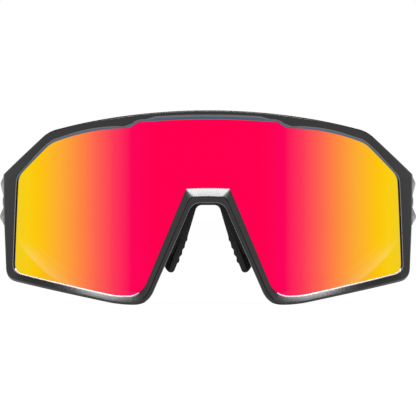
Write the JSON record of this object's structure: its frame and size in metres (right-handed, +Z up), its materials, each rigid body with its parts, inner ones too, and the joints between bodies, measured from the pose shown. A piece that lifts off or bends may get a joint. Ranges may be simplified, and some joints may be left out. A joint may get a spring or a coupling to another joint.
{
  "type": "wraparound sport sunglasses",
  "caption": "Full-rim cylindrical shield sunglasses with a one-piece mirrored lens, a ribbed rubber nose saddle and folding temples with rubber ear grips.",
  "frame": {"origin": "on the table under the middle of the glasses, with the temples open", "axes": "+Z up, -Y is the way the wearer looks, +X is the wearer's left, the temples run back along +Y"},
  "size_m": [0.1514, 0.1714, 0.0659],
  "materials": {
    "frame_plastic": "satin dark grey moulded nylon",
    "mirrored_lens": "mirror coating that turns from magenta red in the middle through orange to yellow at the sides",
    "carrier_plastic": "matte black moulded plastic",
    "soft_rubber": "soft matte black rubber",
    "steel": "plain machined steel",
    "washer_steel": "plain stamped steel",
    "core_steel": "drawn wire",
    "brass": "machined brass",
    "bush_brass": "machined brass",
    "inlay_gloss": "gloss black strip, left blank"
  },
  "bodies": {
    "front": {"front_frame": "frame_plastic", "shield_lens": "mirrored_lens", "nose_pad_carrier": "carrier_plastic", "nose_pad": "soft_rubber", "left_hinge_screw": "steel", "left_hinge_insert": "brass", "left_hinge_washers": "washer_steel", "right_hinge_screw": "steel", "right_hinge_insert": "brass", "right_hinge_washers": "washer_steel"},
    "left_temple": {"left_temple_arm": "frame_plastic", "left_temple_grip": "soft_rubber", "left_temple_core": "core_steel", "left_temple_inlay": "inlay_gloss", "left_hinge_bush": "bush_brass"},
    "right_temple": {"right_temple_arm": "frame_plastic", "right_temple_grip": "soft_rubber", "right_temple_core": "core_steel", "right_temple_inlay": "inlay_gloss", "right_hinge_bush": "bush_brass"}
  },
  "joints": [
    {"name": "left_temple_fold", "type": "hinge", "parent": "front", "child": "left_temple", "pos_m": [0.067, -0.03841, 0.035], "axis": [0, 0, 1], "range_deg": [0, 90]},
    {"name": "right_temple_fold", "type": "hinge", "parent": "front", "child": "right_temple", "pos_m": [-0.067, -0.03841, 0.035], "axis": [0, 0, -1], "range_deg": [0, 83]}
  ]
}
